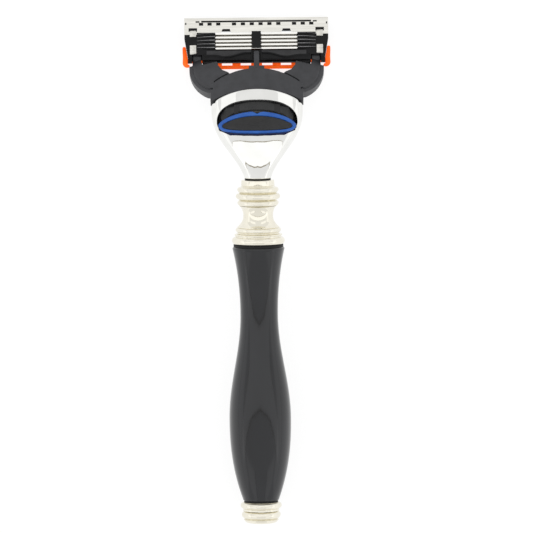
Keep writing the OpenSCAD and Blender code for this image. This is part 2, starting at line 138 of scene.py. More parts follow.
def turned(name, dark, light, rough):
    """Plated turned metal: faint tool rings round the handle's axis."""
    mat, tree, shader = node_material(name)
    shader.inputs["Metallic"].default_value = 1.0
    tree.links.new(ramp(tree, noise(tree, 300), [(0.3, dark), (0.75, light)]),
                   shader.inputs["Base Color"])
    tree.links.new(spread(tree, noise(tree, 700, 5, (1, 6, 1)), rough[0], rough[1]),
                   shader.inputs["Roughness"])
    bump(tree, shader, noise(tree, 1500, 2, (0.15, 5, 0.15)), 0.000003, 0.3)
    return mat


def moulded(name, dark, light, rough, gloss, grain=3800, depth=0.000008, painted_glow=0.0):
    """Moulded plastic or rubber: fine spark-eroded grain and slight cloudiness."""
    mat, tree, shader = node_material(name)
    # Emission in the lightest colour: a painted glow that stands in for light on the plastic; the guard's orange
    # uses it.
    shader.inputs["Emission Color"].default_value = (*light, 1)
    shader.inputs["Emission Strength"].default_value = painted_glow
    tree.links.new(ramp(tree, noise(tree, 420), [(0.3, dark), (0.72, light)]),
                   shader.inputs["Base Color"])
    tree.links.new(spread(tree, noise(tree, 1500, 5), rough[0], rough[1]),
                   shader.inputs["Roughness"])
    shader.inputs["Specular IOR Level"].default_value = gloss
    bump(tree, shader, noise(tree, grain, 2), depth, 0.5)
    return mat


def resin(name):
    """Turned and polished near-black resin under a clear gloss."""
    mat, tree, shader = node_material(name)
    dark, light = (0.006, 0.0065, 0.008), (0.012, 0.013, 0.016)
    cloud = noise(tree, 140, 6, (1, 0.35, 1))
    tree.links.new(ramp(tree, cloud, [(0.25, dark), (0.8, light)]), shader.inputs["Base Color"])
    tree.links.new(spread(tree, noise(tree, 1100, 5), 0.10, 0.17), shader.inputs["Roughness"])
    shader.inputs["Specular IOR Level"].default_value = 0.45
    shader.inputs["Coat Weight"].default_value = 0.12
    shader.inputs["Coat Roughness"].default_value = 0.04
    bump(tree, shader, noise(tree, 700, 3), 0.000004, 0.25)
    return mat


def ground_steel(name, dark, light, rough):
    """Sheet or ground steel with fine streaks along X."""
    mat, tree, shader = node_material(name)
    shader.inputs["Metallic"].default_value = 1.0
    streaks = noise(tree, 1400, 5, (0.06, 3.0, 3.0))
    tree.links.new(ramp(tree, streaks, [(0.3, dark), (0.7, light)]), shader.inputs["Base Color"])
    tree.links.new(spread(tree, streaks, rough[0], rough[1]), shader.inputs["Roughness"])
    bump(tree, shader, streaks, 0.000006, 0.4)
    return mat


def make_materials():
    """Each material: its name, its darkest and lightest colour, its roughness and its gloss."""
    return {
        "resin": resin("grip_resin"),
        "nickel": turned("nickel", (0.80, 0.765, 0.655), (0.86, 0.83, 0.73), (0.05, 0.11)),
        "chrome": polished("chrome", (0.80, 0.80, 0.775), (0.86, 0.86, 0.84), (0.02, 0.055)),
        "brass": turned("brass", (0.66, 0.45, 0.16), (0.80, 0.58, 0.24), (0.2, 0.32)),
        "steel": ground_steel("steel", (0.42, 0.42, 0.42), (0.62, 0.62, 0.61), (0.25, 0.4)),
        "stamped": ground_steel("stamped_steel", (0.58, 0.57, 0.53), (0.78, 0.765, 0.72),
                                (0.22, 0.36)),
        "hem": ground_steel("hem_steel", (0.72, 0.71, 0.68), (0.90, 0.885, 0.85), (0.10, 0.22)),
        "blade": ground_steel("blade_steel", (0.66, 0.67, 0.69), (0.86, 0.86, 0.88), (0.12, 0.26)),
        # Black rubber; on the washers at the grip's two ends its black is also painted shade for the gaps there.
        "rubber": moulded("rubber_and_painted_gap_shade", (0.004, 0.004, 0.004), (0.008, 0.008, 0.008),
                          (0.5, 0.65), 0.25),
        "frame": moulded("frame_black", (0.005, 0.005, 0.0055), (0.010, 0.010, 0.011),
                         (0.22, 0.32), 0.42),
        "pad": moulded("pad_black", (0.010, 0.010, 0.011), (0.017, 0.017, 0.018),
                       (0.42, 0.55), 0.4, grain=2600, depth=0.000012),
        "ring": moulded("ring_blue", (0.012, 0.082, 0.36), (0.02, 0.115, 0.44), (0.25, 0.35), 0.35),
        # A much darker copy of the ring's blue, for the skirt that slopes down into the window: painted shade.
        "skirt": moulded("ring_blue_painted_shade", (0.001, 0.006, 0.035), (0.003, 0.011, 0.075),
                         (0.12, 0.2), 0.25),
        "yoke": moulded("yoke_grey", (0.029, 0.0295, 0.033), (0.041, 0.042, 0.047),
                        (0.34, 0.46), 0.42),
        "slider": moulded("slider_black", (0.013, 0.0135, 0.014), (0.021, 0.0215, 0.022),
                          (0.22, 0.32), 0.42),
        "housing": moulded("housing_black", (0.003, 0.003, 0.0035), (0.007, 0.007, 0.008),
                           (0.20, 0.32), 0.17),
        # Light grey and glossy, for the ridges along the spring fingers: a painted highlight.
        "edge": moulded("housing_painted_highlight", (0.14, 0.14, 0.145), (0.30, 0.30, 0.31), (0.15, 0.25), 0.7),
        # A lighter grey copy of the housing's black, for the ledges: painted sheen.
        "rail": moulded("housing_black_painted_sheen", (0.020, 0.020, 0.0215), (0.032, 0.032, 0.034),
                        (0.3, 0.4), 0.3),
        # The guard's orange glows (emission 0.5): painted light that brightens it.
        "orange": moulded("guard_orange", (0.90, 0.085, 0.003), (1.0, 0.125, 0.005),
                          (0.40, 0.52), 0.3, painted_glow=0.5),
        "strip": moulded("strip_blue", (0.42, 0.66, 0.84), (0.60, 0.80, 0.90),
                         (0.35, 0.6), 0.4, grain=1800),
    }


MAT = make_materials()
CAD_LOOKS = {
    "grip_liner": "brass", "tie_rod": "steel", "dock_frame": "frame", "frame_screw": "steel",
    "ejector": "frame", "return_spring": "steel", "plunger": "yoke",
    # The washers at the grip's ends are black partly as rubber and partly as painted shade in the gaps between
    # grip and metal.
    "finial_washer": "rubber", "collar_washer": "rubber", "neck_seal": "rubber",
    "cartridge_housing": "housing", "guard_fins": "orange", "lubricating_strip": "strip",
    "trimmer_plate": "stamped", "trimmer_blade": "blade", "yoke": "yoke",
    "clip_left": "stamped", "clip_right": "stamped",
}
for number in range(1, 6):
    CAD_LOOKS[f"blade_{number}"] = "blade"
    CAD_LOOKS[f"blade_support_{number}"] = "hem"


# ---------------------------------------------------------------- mesh helpers
def new_piece(name, verts, faces, where, material, sharp=40):
    """A mesh object from local millimetres; where is HANDLE, DOCK or TABLE."""
    mesh = bpy.data.meshes.new(name)
    mesh.from_pydata([where @ Vector(v) for v in verts], [], faces)
    work = bmesh.new()
    work.from_mesh(mesh)
    bmesh.ops.recalc_face_normals(work, faces=work.faces)
    work.to_mesh(mesh)
    work.free()
    mesh.materials.append(MAT[material])
    obj = bpy.data.objects.new(name, mesh)
    bpy.context.scene.collection.objects.link(obj)
    shade(obj, sharp)
    return obj


def shade(obj, sharp):
    obj.data.shade_smooth()
    obj.data.set_sharp_from_angle(angle=math.radians(sharp))


def settle(obj, sharp=40):
    """Applies the piece's modifiers, so that its final mesh is what it keeps."""
    graph = bpy.context.evaluated_depsgraph_get()
    mesh = bpy.data.meshes.new_from_object(obj.evaluated_get(graph))
    obj.modifiers.clear()
    obj.data = mesh
    shade(obj, sharp)


def soften(obj, width, segments=3, angle=35):
    """Rounds the edges of a piece or a CAD node."""
    mod = obj.modifiers.new("soft_edges", "BEVEL")
    mod.width = width * MM
    mod.segments = segments
    mod.limit_method = "ANGLE"
    mod.angle_limit = math.radians(angle)
    mod.harden_normals = True


def cut(obj, cutter):
    """Takes the cutter's volume out of the piece, and removes the cutter."""
    mod = obj.modifiers.new("cut", "BOOLEAN")
    mod.operation = "DIFFERENCE"
    mod.solver = "EXACT"
    mod.object = cutter
    settle(obj)
    bpy.data.objects.remove(cutter)


def rings_to_faces(count, n, loop=False, caps=True):
    """Faces through count closed rings of n points each."""
    faces = []
    for i in range(count if loop else count - 1):
        a, b = i * n, (i + 1) % count * n
        for j in range(n):
            k = (j + 1) % n
            faces.append((a + j, a + k, b + k, b + j))
    if caps and not loop:
        faces.append(tuple(range(n))[::-1])
        faces.append(tuple((count - 1) * n + j for j in range(n)))
    return faces


def band_faces(rows, count):
    """Faces of a closed band: rows of count points each, the last row next to the first."""
    faces = []
    for k in range(rows):
        for i in range(count - 1):
            a, b = k * count + i, (k + 1) % rows * count + i
            faces.append((a, a + 1, b + 1, b))
    faces.append(tuple(k * count for k in range(rows)))
    faces.append(tuple(k * count + count - 1 for k in range(rows)))
    return faces


def slab_faces(nx, ny):
    """Faces of a slab: a top and a bottom grid of nx by ny cells, and the wall round them."""
    row, shift = nx + 1, (nx + 1) * (ny + 1)
    faces = []
    for start in (0, shift):
        for k in range(ny):
            for i in range(nx):
                a = start + k * row + i
                faces.append((a, a + 1, a + row + 1, a + row))
    rim = list(range(row)) + [k * row + nx for k in range(1, ny + 1)]
    rim += [ny * row + i for i in range(nx - 1, -1, -1)] + [k * row for k in range(ny - 1, 0, -1)]
    for a, b in zip(rim, rim[1:] + rim[:1]):
        faces.append((a, b, shift + b, shift + a))
    return faces


def turned_piece(name, profile, material, loop=True, n=128, sharp=40):
    """A piece turned about the handle's axis from (station, radius) points."""
    verts = []
    for s, r in profile:
        verts += [(r * math.cos(2 * math.pi * j / n), s, r * math.sin(2 * math.pi * j / n))
                  for j in range(n)]
    return new_piece(name, verts, rings_to_faces(len(profile), n, loop), HANDLE, material, sharp)


def prism(name, outline, low, high, where, material="frame"):
    """An outline of (x, y) points, drawn up from low to high."""
    n = len(outline)
    verts = [(x, y, low) for x, y in outline] + [(x, y, high) for x, y in outline]
    return new_piece(name, verts, rings_to_faces(2, n), where, material)


def finish_piece(obj, body, slot, *replaced):
    """The piece rides on a body and replaces these CAD nodes; slot is not used."""
    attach(obj, body)
    if replaced:
        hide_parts(*replaced)


# ---------------------------------------------------------------- camera and light
# Metres in the row frame. In plan, the ceiling's softboxes and cloth form a chevron.
CAMERA_PLACE, CAMERA_LENS, CAMERA_ROLL = (0.0022, 0.0011, 2.2), 525, -0.6
CEILING_Z, CLOTH_Z, CLOTH_WIDTH = 0.8, 0.81, 0.022
CEILING_RADIANCE, FILL_RADIANCE, TENT_RADIANCE = 0.30, 0.25, 0.93
CLOTH_COLOUR, FRAME_COLOUR, TABLE_COLOUR = (0.30, 0.26, 0.18), (0.12, 0.10, 0.07), (0.16, 0.16, 0.16)
TABLE_GLOW, TABLE_SIZE = 0.87, 6


def make_camera():
    data = bpy.data.cameras.new("camera")
    data.lens = CAMERA_LENS
    data.sensor_width = 36
    data.clip_start = 0.05
    camera = bpy.data.objects.new("camera", data)
    bpy.context.scene.collection.objects.link(camera)
    camera.location = CAMERA_PLACE
    camera.rotation_euler = (0, 0, math.radians(CAMERA_ROLL))
    bpy.context.scene.camera = camera


def softbox(name, where, facing, size, radiance=FILL_RADIANCE, turn=0.0):
    """A rectangular area lamp of even radiance, turned about the vertical by turn degrees."""
    data = bpy.data.lights.new(name, "AREA")
    data.shape = "RECTANGLE"
    data.size, data.size_y = size
    data.energy = radiance * math.pi * size[0] * size[1]
    lamp = bpy.data.objects.new(name, data)
    lamp.location = where
    lamp.rotation_euler = Vector(facing).to_track_quat("-Z", "Y").to_euler()
    lamp.rotation_euler.z += math.radians(turn)
    bpy.context.scene.collection.objects.link(lamp)


def matt_paint(name, colour):
    mat, _, shader = node_material(name)
    shader.inputs["Base Color"].default_value = (*colour, 1)
    shader.inputs["Roughness"].default_value = 0.9
    return mat, shader


def stage_card(name, where, size, colour):
    """A flat painted card of the stage. Returns its shader."""
    bpy.ops.mesh.primitive_plane_add(size=1, location=where)
    card = bpy.context.object
    card.name = name
    card.scale = (size[0], size[1], 1)
    mat, shader = matt_paint(name + "_paint", colour)
    card.data.materials.append(mat)
    return shader


def top_softbox(name, side, start, end, height):
    """A ceiling softbox whose middle line runs from start to end."""
    run, rise = end[0] - start[0], end[1] - start[1]
    turn = math.degrees(math.atan2(rise, run)) * side
    length, depth = math.hypot(run, rise), height * run / math.hypot(run, rise)
    x, y = (start[0] + end[0]) / 2 * side, (start[1] + end[1]) / 2
    softbox(name, (x, y, CEILING_Z), (0, 0, -1), (length, depth), CEILING_RADIANCE, turn)


def cloth_edge(name, path, width):
    """A strip of tan cloth along one edge of the ceiling softboxes, mirrored in x = 0."""
    points = [(-x, y) for x, y in path[:0:-1]] + path
    count = len(points)
    verts = [(x, y, CLOTH_Z) for x, y in points] + [(x, y + width, CLOTH_Z) for x, y in points]
    mesh = bpy.data.meshes.new(name)
    mesh.from_pydata(verts, [], [(i, i + 1, count + i + 1, count + i) for i in range(count - 1)])
    strip = bpy.data.objects.new(name, mesh)
    bpy.context.scene.collection.objects.link(strip)
    mesh.materials.append(matt_paint(name + "_cloth", CLOTH_COLOUR)[0])


def make_studio():
    world = bpy.data.worlds.new("tent")
    world.use_nodes = True
    back = world.node_tree.nodes["Background"]
    back.inputs["Color"].default_value = (1.0, 1.0, 1.0, 1)
    back.inputs["Strength"].default_value = TENT_RADIANCE
    bpy.context.scene.world = world
    for side in (-1, 1):
        top_softbox(f"softbox_top_{side}", side, (-0.04, 0.167), (0.47, 0.082), 0.49)
        top_softbox(f"softbox_flank_{side}", side, (0.42, 0.094), (1.13, -0.13), 0.49)
        top_softbox(f"softbox_wing_{side}", side, (1.05, -0.095), (3.6, -1.4), 0.50)
        softbox(f"softbox_wall_{side}", (side * 1.65, 0, 0.40), (-side, 0, 0), (2.4, 0.62))
        softbox(f"softbox_back_{side}", (side * 0.98, -1.0, CEILING_Z), (0, 0, -1), (1.04, 0.7))
        softbox(f"softbox_front_{side}", (side * 0.93, 1.16, CEILING_Z), (0, 0, -1), (1.15, 0.88))
    for side in (-1, 1):
        stage_card(f"softbox_frame_side_{side}", (side * 0.445, -1.0, CLOTH_Z), (0.02, 0.7),
                   FRAME_COLOUR)
    cloth_edge("softbox_cloth_front", [(0, 0.412), (0.45, 0.337), (1.1, 0.132), (3.6, -1.15)],
               CLOTH_WIDTH)
    cloth_edge("softbox_cloth_back", [(0, -0.092), (0.45, -0.167), (1.1, -0.372), (3.4, -1.56)],
               -CLOTH_WIDTH)
    table = stage_card("floor", (0, 0, -0.0001), (TABLE_SIZE, TABLE_SIZE), TABLE_COLOUR)
    table.inputs["Emission Color"].default_value = (1, 1, 1, 1)
    table.inputs["Emission Strength"].default_value = TABLE_GLOW
    bpy.context.scene.view_settings.view_transform = "Standard"


# ---------------------------------------------------------------- handle
# Stations run along the handle's axis from the finial's end.
GRIP_FOOT, GRIP_BELLY, GRIP_WAIST, GRIP_TOP = 6.4, 29.5, 59.0, 78.2
BELLY_R = (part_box("grip")[1].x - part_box("grip")[0].x) / MM / 2
WAIST_R, GRIP_TOP_R, GRIP_FOOT_R, GRIP_BORE_R = 5.3, 7.45, 5.0, 3.3
FOOT_EDGE, TOP_EDGE = 0.35, 0.55


def grip_radius(s):
    """The grip's outer radius at station s: a foot, a belly, a waist and a flared top."""
    if s > GRIP_WAIST:
        return WAIST_R + (GRIP_TOP_R - WAIST_R) * ((s - GRIP_WAIST) / (GRIP_TOP - GRIP_WAIST)) ** 2.1
    if s > GRIP_BELLY:
        turn = math.pi * (s - GRIP_BELLY) / (GRIP_WAIST - GRIP_BELLY)
        return WAIST_R + (BELLY_R - WAIST_R) * (1 + math.cos(turn)) / 2
    share = (GRIP_BELLY - s) / (GRIP_BELLY - GRIP_FOOT)
    return BELLY_R - (BELLY_R - GRIP_FOOT_R) * share ** 2.3


def arc(s, r, radius_s, radius_r, start, end, steps=10):
    """Points of an arc about station s and radius r; 0 degrees points outwards."""
    return [(s + radius_s * math.sin(math.radians(a)), r + radius_r * math.cos(math.radians(a)))
            for a in (start + (end - start) * i / steps for i in range(steps + 1))]


def bead(s, r, half):
    """A rounded bead of half-width half at station s, r at its top."""
    return arc(s, r - half, half, half, -84, 84, 16)


def make_grip(steps=150):
    start, end = GRIP_FOOT + FOOT_EDGE, GRIP_TOP - TOP_EDGE
    stations = [start + (end - start) * i / steps for i in range(steps + 1)]
    outer = [(s, grip_radius(s)) for s in stations]
    foot = arc(start, outer[0][1] - FOOT_EDGE, FOOT_EDGE, FOOT_EDGE, -90, -10, 6)
    shoulder = arc(end, outer[-1][1] - TOP_EDGE, TOP_EDGE, TOP_EDGE, 8, 90, 8)
    grip = turned_piece("grip_turned", [(GRIP_FOOT, GRIP_BORE_R)] + foot + outer + shoulder
                        + [(GRIP_TOP, GRIP_BORE_R)], "resin", n=160)
    finish_piece(grip, "handle", "grip_resin", "grip")


def make_collar():
    """From the grip up: big ring, fine bead, bead, spool, three beads and a cap."""
    collar = [(78.9, 2.6), (78.9, 6.5)] + bead(79.95, 7.47, 1.1)
    collar += [(81.2, 6.5)] + arc(81.6, 6.45, 0.25, 0.3, -70, 70, 8) + [(82.0, 6.0)]
    collar += bead(82.95, 6.42, 0.66) + [(83.7, 5.95)]
    collar += cove(87.0, 4.22, 83.85, 5.95, 89.6, 5.05)
    collar += [(89.75, 5.3)] + bead(90.6, 5.82, 0.8) + [(91.55, 5.3)]
    collar += bead(92.45, 6.28, 0.84) + [(93.4, 5.3)] + bead(94.3, 5.84, 0.78)
    collar += [(95.15, 4.9), (95.3, 4.75)] + arc(95.65, 4.58, 0.22, 0.14, -80, 0, 4)
    collar += arc(96.75, 4.35, 0.3, 0.3, 0, 85, 6) + [(97.08, 2.6)]
    piece = turned_piece("collar_turned", collar, "nickel", n=160, sharp=30)
    finish_piece(piece, "handle", "nickel", "neck_collar")


def make_finial():
    """From its end up: a rounded end face, two rings with a fine line between, and a spigot."""
    finial = [(0.0, 0.01), (0.0, 3.6)] + arc(0.9, 3.7, 0.9, 1.1, -85, -25, 8)
    finial += [(0.95, 5.0)] + bead(2.3, 5.53, 1.0) + [(3.45, 5.15)]
    finial += arc(3.75, 5.2, 0.3, 0.12, 120, 240, 6)[::-1]
    finial += bead(4.95, 5.84, 0.86) + [(5.88, 5.1), (5.9, 2.5), (10.4, 2.5), (10.4, 0.01)]
    piece = turned_piece("finial_turned", finial, "nickel", loop=False, n=160, sharp=30)
    finish_piece(piece, "handle", "nickel", "finial")


def cove(mid_s, mid_r, low_s, low_r, high_s, high_r, steps=18):
    """A spool's hollow from (low_s, low_r) through its waist to (high_s, high_r)."""
    points = []
    for i in range(-steps, steps + 1):
        end_s, end_r = (low_s, low_r) if i < 0 else (high_s, high_r)
        share = abs(i) / steps
        points.append((mid_s + (end_s - mid_s) * share, mid_r + (end_r - mid_r) * share ** 2.3))
    return points


# ---------------------------------------------------------------- head
HANDLE_SLOPE = math.atan2(-mounts["finial_face"]["axis"][2], -mounts["finial_face"]["axis"][1])
DOCK_SLOPE = -math.atan2(joints["eject_button"]["axis"][2], joints["eject_button"]["axis"][1])
NECK_S, NECK_R = 97.5, 3.8
RIM_SIDE_Y, RIM_BOW = -15.45, 2.95
HEAD_W = (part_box("head_shell")[1].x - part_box("head_shell")[0].x) / MM
HEAD_T, HEAD_WALL = 11.2, 0.9
FLARE_LEN, FLARE_POWER, SWELL_LEN = 18.7, 1.43, 17
RIM_LIP, SHELL_BACK_U = 0.35, 7.5
WINDOW_X, WINDOW_SHOULDER_Y, WINDOW_DEPTH = 11.35, -21.4, 5.4
BEND = HANDLE_SLOPE + DOCK_SLOPE


def head_line():
    """The head's centre line in (y, z) metres: its arc's radius and the two straight lines."""
    start = HANDLE @ Vector((0, NECK_S, 0))
    tangent = math.tan(HANDLE_SLOPE), math.tan(DOCK_SLOPE)
    corner_y = (PIVOT.z - start.z + tangent[0] * start.y + tangent[1] * PIVOT.y) / sum(tangent)
    reach = (corner_y - start.y) / math.cos(HANDLE_SLOPE)
    return start, reach / math.tan(BEND / 2)


NECK_POINT, BEND_R = head_line()
BEND_LEN = BEND_R * BEND / MM


def centre_line(u):
    """Point (row metres) and slope at u millimetres along the head's centre line."""
    slope = HANDLE_SLOPE - BEND * min(u, BEND_LEN) / BEND_LEN
    point = NECK_POINT + BEND_R * Vector((
        0, math.sin(HANDLE_SLOPE) - math.sin(slope), math.cos(slope) - math.cos(HANDLE_SLOPE)))
    if u > BEND_LEN:
        point = point + (u - BEND_LEN) * MM * Vector((0, math.cos(DOCK_SLOPE), -math.sin(DOCK_SLOPE)))
    return point, slope


RIM_U = BEND_LEN + (PIVOT - centre_line(BEND_LEN)[0]).length / MM + RIM_SIDE_Y


def head_size(u):
    """The head's half width and half thickness at u."""
    y = (centre_line(u)[0].y - NECK_POINT.y) / MM
    flare = math.sin(math.pi / 2 * min(1, y / FLARE_LEN)) ** FLARE_POWER
    swell = math.sin(math.pi / 2 * min(1, u / SWELL_LEN))
    return NECK_R + (HEAD_W / 2 - NECK_R) * flare, NECK_R + (HEAD_T / 2 - NECK_R) * swell


def head_ring(u, gap, n):
    """A ring of n points round the head at u, gap inside its surface, bowed out at the rim."""
    point, slope = centre_line(u)
    w, h = head_size(u)
    w, h = w - gap, h - gap
    power = 1 - 0.14 * min(1, u / 15)
    top_power = power - 0.13 * min(1, u / 9)
    along = Vector((0, math.cos(slope), math.sin(slope)))
    up = Vector((0, -math.sin(slope), math.cos(slope)))
    ring = []
    for j in range(n):
        a = 2 * math.pi * j / n
        c, s = math.cos(a), math.sin(a)
        x = w * math.copysign(abs(c) ** power, c)
        z = h * s ** top_power if s > 0 else -h * abs(s) ** power
        y = RIM_BOW * (min(u, RIM_U) / RIM_U) ** 3 * (1 - (x / w) ** 2)
        ring.append(point + MM * (x * X + y * along + z * up))
    return ring


def window_outline(steps=60):
    """The button's window: a flattened arch in front, a tapering foot behind."""
    points = []
    for i in range(steps + 1):
        a = math.pi * i / steps
        c, s = math.cos(a), math.sin(a)
        points.append((WINDOW_X * math.copysign(abs(c) ** 0.82, c),
                       WINDOW_SHOULDER_Y + WINDOW_DEPTH * abs(s) ** 0.9))
    foot = [(3.8, -27.0), (7.6, -26.35), (9.4, -25.05), (10.6, -24.15), (WINDOW_X, -22.75)]
    return points + [(-x, y) for x, y in foot[::-1]] + [(0, -27.2)] + foot


def make_head(n=160, steps=110, inner_steps=30):
    rings = [head_ring(0.0, 0.25, n), head_ring(0.06, 0.07, n), head_ring(0.22, 0.0, n)]
    rings += [head_ring(0.3 + (RIM_U - RIM_LIP - 0.3) * i / steps, 0.0, n) for i in range(steps + 1)]
    for i in range(1, 7):
        a = math.pi / 2 * i / 6
        rings.append(head_ring(RIM_U - RIM_LIP + RIM_LIP * math.sin(a), RIM_LIP * (1 - math.cos(a)), n))
    for i in range(inner_steps + 1):
        rings.append(head_ring(RIM_U - (RIM_U - SHELL_BACK_U) * i / inner_steps, HEAD_WALL, n))
    verts = [v for ring in rings for v in ring]
    faces = rings_to_faces(len(rings), n)
    shell = new_piece("head_shell_chromed", verts, faces, Matrix(), "chrome", 50)
    cut(shell, prism("window_cutter", window_outline(), 0.9, 10, DOCK))
    soften(shell, 0.16, 3, 40)
    settle(shell, 60)
    finish_piece(shell, "handle", "chrome", "head_shell")


# ---------------------------------------------------------------- button
BUTTON_Y = -23.05
RING_W, RING_L = 10.95, 3.4
PAD_W, PAD_L, PAD_SHIFT = 9.75, 2.3, -0.35
CROWN_R, CROWN_Z = 26.4, 5.7
BAY_Z = 3.24
FOOT_X = 7.6
APRON_X, APRON_LOW = 8.9, 3.34


def crown(x):
    """Height of the button's top, which is arched from side to side."""
    return CROWN_Z - CROWN_R + math.sqrt(CROWN_R ** 2 - x ** 2)


def notch(x, y):
    """The little dip in the ring's front edge, at its middle."""
    return -0.72 * math.exp(-(x / 0.8) ** 2) if y > 0 else 0.0


def make_pad(n=180, steps=44):
    verts = []
    for k in range(steps + 1):
        t = max(0.001, k / steps)
        for j in range(n):
            a = 2 * math.pi * j / n
            x, y = PAD_W * t * math.cos(a), PAD_L * t * math.sin(a)
            dish = -0.28 * (1 - t ** 2)
            rib = 0.035 * math.cos(2 * math.pi * y / 0.46) * max(0, 1 - (x / 6.2) ** 4)
            rib *= max(0, 1 - (y / 1.9) ** 6)
            edge = -0.35 * max(0, (t - 0.93) / 0.07) ** 2
            verts.append((x, BUTTON_Y + PAD_SHIFT + y, crown(x) - 0.02 + dish + rib + edge))
    # One more ring below the last one makes the pad's wall.
    for j in range(n):
        a = 2 * math.pi * j / n
        verts.append((PAD_W * math.cos(a), BUTTON_Y + PAD_SHIFT + PAD_L * math.sin(a), 4.05))
    pad = new_piece("button_pad_ribbed", verts, rings_to_faces(steps + 2, n), DOCK, "pad", 60)
    finish_piece(pad, "button", "pad_black", "button_pad")


def make_ring(n=200):
    """The ring between the pad and its outer edge, by (share outwards, lift) rows."""
    verts = []
    shape = [(0.0, -0.8), (0.0, -0.15), (0.10, 0.02), (0.25, 0.10), (0.5, 0.13), (0.75, 0.08),
             (0.9, -0.06), (1.0, -0.3), (1.02, -0.9)]
    for share, lift in shape:
        for j in range(n):
            a = 2 * math.pi * j / n
            c, s = math.cos(a), math.sin(a)
            inner = Vector(((PAD_W + 0.04) * c, PAD_SHIFT + (PAD_L + 0.04) * s))
            outer = Vector((RING_W * c, RING_L * s + notch(RING_W * c, s)))
            p = inner.lerp(outer, share)
            verts.append((p.x, BUTTON_Y + p.y, max(crown(p.x) + lift, BAY_Z)))
    faces = rings_to_faces(len(shape), n, loop=True)
    ring = new_piece("button_ring_moulded", verts, faces, DOCK, "ring", 50)
    finish_piece(ring, "button", "ring_blue", "button_ring")


def skirt_limit(x):
    """How far back the skirt reaches at x, from the button's middle: just inside the window."""
    if abs(x) < FOOT_X:
        return min(-3.28, -4.1 + 0.82 * (x / FOOT_X) ** 2)
    return -3.28 + (abs(x) - FOOT_X) * 0.74


def make_skirt(n=60):
    """The ring's lower skirt, down to the window's edge, in a much darker copy of the ring's blue: painted shade.
    """
    rows = [(0.35, -0.55), (0.0, -0.5), (-0.35, -0.62), (-0.75, -1.0), (-0.95, -1.6),
            (-0.95, -2.2), (0.35, -2.2)]
    verts = []
    for back, drop in rows:
        for i in range(n + 1):
            x = -9.3 + 18.6 * i / n
            edge = -RING_L * math.sqrt(max(0.0, 1 - (x / RING_W) ** 2))
            y = edge + back if back > 0 else edge + (skirt_limit(x) - edge) * (-back / 0.95)
            verts.append((x, BUTTON_Y + y, max(crown(x) + drop, BAY_Z)))
    skirt = new_piece("button_skirt", verts, band_faces(len(rows), n + 1), DOCK, "skirt", 50)
    finish_piece(skirt, "button", "ring_blue")


def make_apron(nx=72, ny=16):
    """The slider's smooth black apron, which slopes down and forward under the shell's rim."""
    top, low = [], []
    for k in range(ny + 1):
        t = k / ny
        for i in range(nx + 1):
            x = APRON_X * (2 * i / nx - 1)
            near = RING_L * math.sqrt(max(0.0, 1 - (x / RING_W) ** 2)) * 0.9
            far = 4.8 + 3.3 * (1 - (x / 9.4) ** 2) ** 0.6
            y = near + (far - near) * t
            z = crown(x) - 0.3 - 0.95 * min(1, t / 0.3) ** 1.2
            top.append((x, BUTTON_Y + y, max(z, APRON_LOW + 0.16)))
            low.append((x, BUTTON_Y + y, APRON_LOW))
    apron = new_piece("slider_apron", top + low, slab_faces(nx, ny), DOCK, "slider", 50)
    finish_piece(apron, "button", "frame_black")


# ---------------------------------------------------------------- yoke
ARM_X, ARM_Y, ARM_W, ARM_L, ARM_TOP = 10.9, -3.8, 8.1, 8.9, 4.1
DOME_Y, DOME_R, YOKE_SPHERE = -25.4, 20.0, 60.0
BORDER_INSET, BORDER_DEPTH, SEAM_DEPTH, ABOVE_YOKE = 1.15, 0.28, 0.5, 7.0
YOKE_VOXEL, YOKE_SMOOTHING = 0.13, 4


def arm_height(x, y):
    """Height of the arms' top, which lies on a large sphere."""
    return ARM_TOP - (x * x + (y + 12) ** 2) / (2 * YOKE_SPHERE)


def groove_cutter(name, path, half_width, depth):
    """A band along a path of (x, y) points, which cuts a groove into the arms' top."""
    left, right = [], []
    for i, (x, y) in enumerate(path):
        ax, ay = path[max(0, i - 1)]
        bx, by = path[min(len(path) - 1, i + 1)]
        n = Vector((-(by - ay), bx - ax)).normalized() * half_width
        left.append((x + n.x, y + n.y))
        right.append((x - n.x, y - n.y))
    verts = [(x, y, arm_height(x, y) - depth) for x, y in left + right]
    verts += [(x, y, ABOVE_YOKE) for x, y in right + left]
    return new_piece(name, verts, band_faces(4, len(path)), DOCK, "yoke")


def copy_of_node(node, name):
    source = frame["nodes"][node]
    obj = bpy.data.objects.new(name, source.data.copy())
    obj.matrix_world = source.matrix_world.copy()
    bpy.context.scene.collection.objects.link(obj)
    return obj


def round_off(obj, voxel, rounds):
    """Rounds a piece's edges like a moulding's, by a voxel remesh and smoothing."""
    mod = obj.modifiers.new("voxels", "REMESH")
    mod.mode = "VOXEL"
    mod.voxel_size = voxel * MM
    mod.adaptivity = 0
    mod = obj.modifiers.new("relax", "SMOOTH")
    mod.factor = 0.5
    mod.iterations = rounds
    settle(obj, 60)


def make_yoke():
    """The CAD yoke with a grooved border on each arm and a seam at the dome's foot."""
    obj = copy_of_node("yoke", "yoke_moulded")
    border_w, border_l, seam_r = ARM_W - BORDER_INSET, ARM_L - BORDER_INSET, DOME_R * 1.015
    for side in (-1, 1):
        border = [(side * (ARM_X + border_w * math.cos(a)), ARM_Y + border_l * math.sin(a))
                  for a in (math.radians(v) for v in range(-78, 9, 3))]
        cut(obj, groove_cutter("border_cutter", border, 0.2, BORDER_DEPTH))
        seam = [(seam_r * math.sin(side * a), DOME_Y + seam_r * math.cos(a))
                for a in (math.radians(v) for v in range(23, 37))]
        cut(obj, groove_cutter("seam_cutter", seam, 0.28, SEAM_DEPTH))
    round_off(obj, YOKE_VOXEL, YOKE_SMOOTHING)
    obj.data.materials.clear()
    obj.data.materials.append(MAT["yoke"])
    finish_piece(obj, "yoke", "yoke_grey", "yoke")


